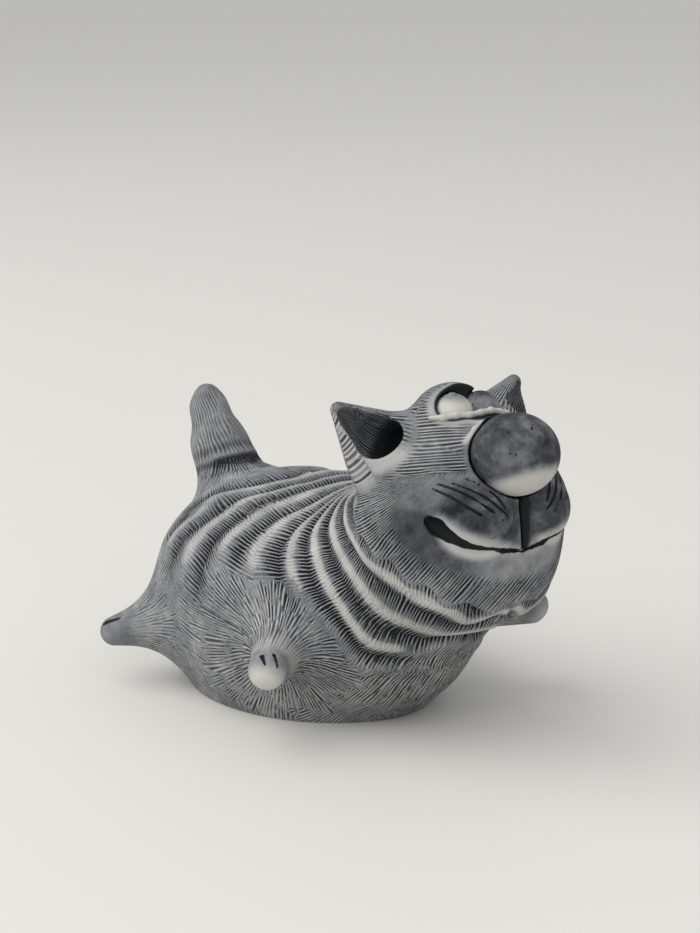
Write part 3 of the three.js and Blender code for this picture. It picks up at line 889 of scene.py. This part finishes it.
def coat_tree():
    """Folds and hair grooves along the coat layers of a skin."""
    tree = bpy.data.node_groups.new("combed_coat", "GeometryNodeTree")
    face = tree.interface
    face.new_socket("Skin", in_out="INPUT", socket_type="NodeSocketGeometry")
    for label, value in COAT_SIZES.items():
        face.new_socket(label, in_out="INPUT", socket_type="NodeSocketFloat").default_value = value
    face.new_socket("Finish", in_out="INPUT", socket_type="NodeSocketMaterial")
    face.new_socket("Coat", in_out="OUTPUT", socket_type="NodeSocketGeometry")
    m = Sums(tree)
    given = m.node("NodeGroupInput").outputs
    layers = {}
    for label, kind in (("hair", "FLOAT_VECTOR"), ("folds", "FLOAT_VECTOR"), ("swell", "FLOAT")):
        n = m.node("GeometryNodeInputNamedAttribute", data_type=kind)
        n.inputs["Name"].default_value = label
        layers[label] = n.outputs["Attribute"]
    place = m.node("GeometryNodeInputPosition").outputs[0]
    sizes = (given["Hair pitch"], given["Stroke length"], given["Seed"])
    groove, ridge, high, low = combed_coat(m, layers["hair"], layers["folds"], place, *sizes)
    lift = m.times(m.less(m.times(high, 0.3), m.times(low, 0.7)), given["Fold depth"])
    lift = m.plus(lift, m.times(layers["swell"], 0.001))
    cut = m.times(groove, given["Groove depth"], m.plus(1.0, m.times(low, 0.8)))
    lift = m.less(lift, cut)
    offset = m.node("ShaderNodeVectorMath", operation="SCALE")
    m.feed(offset.inputs[0], m.node("GeometryNodeInputNormal").outputs[0])
    m.feed(offset.inputs["Scale"], lift)
    move = m.node("GeometryNodeSetPosition")
    m.feed(move.inputs["Geometry"], given["Skin"])
    m.feed(move.inputs["Offset"], offset.outputs[0])
    real = m.node("GeometryNodeRealizeInstances")
    m.feed(real.inputs[0], move.outputs[0])
    paint = m.node("GeometryNodeSetMaterial")
    m.feed(paint.inputs["Geometry"], real.outputs[0])
    m.feed(paint.inputs["Material"], given["Finish"])
    m.feed(m.node("NodeGroupOutput").inputs[0], paint.outputs[0])
    return tree


# Colours of the pale body and of the wash over it, from thin to thick; the thickest is also the colour
# of the painted shade in the slit, the eye sockets and the ear bowl.
BARE_COLOUR = (0.54, 0.53, 0.49, 1)
THIN_WASH = (
    (0.3, (0.34, 0.34, 0.335, 1)),
    (0.55, (0.165, 0.17, 0.182, 1)),
    (0.78, (0.055, 0.058, 0.066, 1)),
)
THICK_WASH_AND_SHADE = (0.008, 0.009, 0.011, 1)
GLOSS, ROUGHNESS, GRAIN_DEPTH = 0.22, 0.74, 0.00012


def coat_material(name, mottling=0.42, pits=0.0):
    """Pale bisque under a blue-black wash that stays in the grooves, and painted shade in a few
    hollows.
    """
    material = bpy.data.materials.new(name)
    material.use_nodes = True
    tree = material.node_tree
    shader = tree.nodes["Principled BSDF"]
    m = Sums(tree)
    hair, folds, tone = (
        m.node("ShaderNodeAttribute", attribute_name=label).outputs["Vector"]
        for label in ("hair", "folds", "tone")
    )
    place = m.node("ShaderNodeTexCoord").outputs["Object"]
    sizes = (COAT_SIZES["Hair pitch"], COAT_SIZES["Stroke length"], COAT_SIZES["Seed"])
    groove, ridge, high, low = combed_coat(m, hair, folds, place, *sizes)
    wash, bare, ink_and_shade = m.split(tone)
    contrast = m.split(folds)[2]
    clouds = m.less(m.noise(place, 170.0, 3.0, 0.6), 0.5)
    patches = m.less(m.noise(place, 620.0, 2.0, 0.5), 0.5)
    grain = m.less(m.noise(place, 2400.0, 3.0, 0.7), 0.5)
    dark = m.plus(wash, m.times(clouds, mottling), m.times(patches, mottling * 0.7))
    dark = m.plus(dark, m.times(grain, 0.2))
    holes = m.times(m.ramp(m.noise(place, 1150.0, 1.0, 0.5), 0.7, 0.78), pits)
    dark = m.plus(dark, m.times(holes, 0.35))
    top = m.ramp(high, 0.78, 1.0)
    dark = m.less(dark, m.times(top, m.plus(0.14, m.times(contrast, 0.19))))
    dark = m.plus(dark, m.times(low, m.plus(0.27, m.times(contrast, 0.12))))
    dark = m.less(dark, m.times(ridge, 0.4))
    dark = m.times(dark, m.less(1.0, m.times(bare, 0.93)))
    dark = m.plus(dark, m.times(groove, m.plus(0.31, m.times(contrast, 0.2))))
    # ink_and_shade darkens towards the thickest colour: wash left thick in hollows, and painted shade
    # in the slit, the eye sockets and the ear bowl.
    dark = m.do("ADD", dark, m.times(ink_and_shade, 1.1), clamp=True)
    ramp = m.node("ShaderNodeValToRGB")
    stops = ramp.color_ramp.elements
    stops[0].color, stops[1].color = BARE_COLOUR, THICK_WASH_AND_SHADE
    for at, colour in THIN_WASH:
        stops.new(at).color = colour
    m.feed(ramp.inputs[0], dark)
    tree.links.new(ramp.outputs[0], shader.inputs["Base Color"])
    shader.inputs["Specular IOR Level"].default_value = GLOSS
    tree.links.new(m.plus(ROUGHNESS, m.times(grain, 0.2)), shader.inputs["Roughness"])
    bump = m.node("ShaderNodeBump")
    bump.inputs["Distance"].default_value = GRAIN_DEPTH
    bump.inputs["Strength"].default_value = 0.7
    m.feed(bump.inputs["Height"], m.less(m.less(m.times(m.plus(grain, patches), 0.22), groove), holes))
    tree.links.new(bump.outputs[0], shader.inputs["Normal"])
    return material


# ------------------------------------------------------------------ pieces
COAT = coat_material("washed_coat")
FACE = coat_material("smooth_face", mottling=0.75, pits=1.0)
TREE = coat_tree()


def link(data, name):
    obj = bpy.data.objects.new(name, data)
    bpy.context.scene.collection.objects.link(obj)
    return obj


def combed(mesh, name, finish):
    """The piece with its folds and grooves made real, as a plain mesh."""
    obj = link(mesh, name)
    modifier = obj.modifiers.new("coat", "NODES")
    modifier.node_group = TREE
    values = dict(COAT_SIZES, Finish=finish)
    for item in TREE.interface.items_tree:
        if item.item_type == "SOCKET" and item.in_out == "INPUT" and item.name in values:
            modifier[item.identifier] = values[item.name]
    bpy.context.view_layer.update()
    depsgraph = bpy.context.evaluated_depsgraph_get()
    plain = bpy.data.meshes.new_from_object(obj.evaluated_get(depsgraph))
    obj.modifiers.remove(modifier)
    obj.data = plain
    return obj


def node_of(name):
    """The torso and the head are each drawn as several pieces."""
    last = name.split("_")[-1]
    return last if last in ("torso", "head") else name


def make_piece(name, slot, field, low, high, spacing, layers):
    points, quads = skin_mesh(field, low, high, spacing * COARSER)
    points, quads, thin = merge_inside(points, quads)
    mesh = mesh_from(name, points, quads, thin)
    hair, folds, tone, swell = layers(points)
    for label, values in (("hair", hair), ("folds", folds), ("tone", tone), ("swell", swell)):
        put(mesh, label, values)
    obj = combed(mesh, name, COAT if slot == "coat" else FACE)
    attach(obj, "root")
    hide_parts(node_of(name))
    print(name, len(quads) * 2 + len(thin), "triangles", flush=True)


# Each piece of the skin: its slot, the box it lies in and how close its points are.
SKIN_PIECES = [
    ("rear_right_torso", "coat", (-33, -2, 0), (2, 23, 36), 0.16),
    ("rear_left_torso", "coat", (-33, -23, 0), (2, 2, 36), 0.16),
    ("front_right_torso", "coat", (-2, -2, 0), (38, 23, 36), 0.16),
    ("front_left_torso", "coat", (-2, -23, 0), (38, 2, 36), 0.16),
    ("right_head", "coat", (8, -2, 14), (46, 18, 52), 0.16),
    ("left_head", "coat", (8, -18, 14), (46, 2, 52), 0.16),
    ("lower_jaw", "coat", (24, -18, 14), (46, 18, 37), 0.16),
    ("right_ear", "coat", (16, 3, 32), (34, 20, 50), 0.14),
    ("left_ear", "coat", (16, -20, 32), (34, -3, 50), 0.14),
    ("brow", "coat", (22, -10, 41), (34, 10, 51), 0.12),
    ("right_muzzle_pad", "muzzle", (28, -2, 26), (46, 14, 41), 0.12),
    ("left_muzzle_pad", "muzzle", (28, -14, 26), (46, 2, 41), 0.12),
    ("tail", "coat", (-34, -9, 22), (-12, 9, 42), 0.2),
    ("front_right_paw", "coat", (6, 10, 4), (24, 29, 20), 0.14),
    ("front_left_paw", "coat", (6, -29, 4), (24, -10, 20), 0.14),
    ("hind_right_paw", "coat", (-26, 8, 1), (-7, 28, 18), 0.16),
    ("hind_left_paw", "coat", (-26, -28, 1), (-7, -8, 18), 0.16),
]
for name, slot, low, high, spacing in SKIN_PIECES:
    make_piece(name, slot, piece_field(name), low, high, spacing, coat_layers)


def plain_layers(toner):
    """Coat layers of a piece without hair; toner gives its wash, bare and ink_and_shade."""

    def layers(p):
        n = len(p)
        tone = np.stack([np.broadcast_to(v, n) for v in toner(p)], 1)
        return np.zeros((n, 3)), np.zeros((n, 3)), tone, np.zeros(n)

    return layers


def nose_tone(p):
    level = p[:, 2] - 0.5 * (p[:, 0] - NOSE[0]) - NOSE[2]
    return 0.77, 1 - smooth(level, -4.6, -2.5), 0


def eye_tone(wash, bare):
    def toner(p):
        top = smooth(p[:, 2], NEAR_EYE[2] + 1.2, NEAR_EYE[2] + 2.4)
        return wash + 0.25 * top, bare * (1 - 0.6 * top), 0

    return toner


def eye_field(middle, lean):
    """An eyeball with a small pupil hole near its top."""
    pupil = np.asarray(middle) + EYE_RADIUS * np.array(lean)

    def field(p):
        ball = melt(egg(p, middle, (EYE_RADIUS,) * 3), egg(p, pupil, (0.4,) * 3), 0.45)
        return carve(ball, egg(p, pupil + (0, 0, 0.22), (0.3,) * 3), 0.12)

    return field


def around_box(middle, reach):
    return tuple(v - reach for v in middle), tuple(v + reach for v in middle)


def nose_ball(p):
    return egg(p, NOSE, NOSE_HALF)


def lid_roll(p):
    return chain(p, LID, 0.4)


def lid_tone(_):
    return 0.42, 0.75, 0


RIGHT_BALL, LEFT_BALL = eye_field(NEAR_EYE, (0.1, 0.12, 0.98)), eye_field(FAR_EYE, (0.15, 0.32, 0.93))
# Each smooth piece: its slot, its field, the box it lies in, how close its points are, its wash.
SMOOTH_PIECES = [
    ("nose", "nose", nose_ball, (33, -7, 34), (46, 7, 47), 0.16, nose_tone),
    ("right_eye", "white_eye", RIGHT_BALL, *around_box(NEAR_EYE, 3.2), 0.1, eye_tone(0.35, 0.95)),
    ("left_eye", "grey_eye", LEFT_BALL, *around_box(FAR_EYE, 3.2), 0.1, eye_tone(0.58, 0)),
    ("lower_eyelid", "coat", lid_roll, (28, -9, 42), (37, 9, 48), 0.1, lid_tone),
]
for name, slot, field, low, high, spacing, toner in SMOOTH_PIECES:
    make_piece(name, slot, field, low, high, spacing, plain_layers(toner))

# ------------------------------------------------------------------ floor, light and camera
FLOOR_HALF, FLOOR_COLOUR, FLOOR_ROUGHNESS = 3.0, (0.66, 0.655, 0.625, 1), 0.6
LAMP_TARGET = (0, 0, 0.02)
# Each lamp: place, width and height, power, colour.
LAMPS = {
    "window": ((-0.55, 0.25, 0.6), (1.2, 1.2), 7.4, (1, 0.99, 0.97)),
    "fill": ((-0.35, -0.7, 0.5), (0.6, 0.5), 1.2, (1, 0.99, 0.98)),
}
STUDIO_COLOUR, STUDIO_STRENGTH = (0.9, 0.9, 0.9, 1), 0.77
# The camera's turn and tilt, the frame it fills, how far it sees that frame from, and where in
# the frame, at how many units to the millimetre, it sees the middle of the base.
YAW, PITCH = math.radians(38), math.radians(13)
FRAME, FOCAL, BASE_AT, BASE_SCALE = (700, 933), 2400.0, (325, 686), 7.0
SENSOR = 36

floor = bpy.data.meshes.new("floor")
corners = [(-1, -1), (1, -1), (1, 1), (-1, 1)]
floor.from_pydata([(x * FLOOR_HALF, y * FLOOR_HALF, 0) for x, y in corners], [], [(0, 1, 2, 3)])
floor_obj = link(floor, "floor")
paper = bpy.data.materials.new("pale_table")
paper.use_nodes = True
paper.node_tree.nodes["Principled BSDF"].inputs["Base Color"].default_value = FLOOR_COLOUR
paper.node_tree.nodes["Principled BSDF"].inputs["Roughness"].default_value = FLOOR_ROUGHNESS
floor.materials.append(paper)

for name, (lamp_place, breadth, power, colour) in LAMPS.items():
    light = bpy.data.lights.new(name, "AREA")
    light.shape = "RECTANGLE"
    light.size, light.size_y = breadth
    light.energy = power
    light.color = colour
    lamp = link(light, name)
    lamp.location = lamp_place
    aim = Vector(LAMP_TARGET) - Vector(lamp_place)
    lamp.rotation_euler = aim.to_track_quat("-Z", "Y").to_euler()

world = bpy.data.worlds.new("studio")
world.use_nodes = True
world.node_tree.nodes["Background"].inputs["Color"].default_value = STUDIO_COLOUR
world.node_tree.nodes["Background"].inputs["Strength"].default_value = STUDIO_STRENGTH
bpy.context.scene.world = world

right = np.array([math.cos(YAW), -math.sin(YAW), 0])
level = np.array([math.sin(YAW), math.cos(YAW), 0])
upright = np.array([0, 0, 1])
ahead = level * math.cos(PITCH) - upright * math.sin(PITCH)
above = level * math.sin(PITCH) + upright * math.cos(PITCH)
towards_base = right * (BASE_AT[0] - FRAME[0] / 2) / FOCAL + ahead
towards_base = towards_base + above * (FRAME[1] / 2 - BASE_AT[1]) / FOCAL
lens = bpy.data.cameras.new("camera")
lens.sensor_fit = "VERTICAL"
lens.sensor_height = SENSOR
lens.lens = FOCAL / FRAME[1] * SENSOR
lens.clip_start = 0.01
camera = link(lens, "camera")
camera.location = -towards_base * FOCAL / BASE_SCALE * MM
camera.rotation_euler = Vector(ahead).to_track_quat("-Z", "Y").to_euler()
bpy.context.scene.camera = camera
bpy.context.scene.view_settings.view_transform = "Standard"
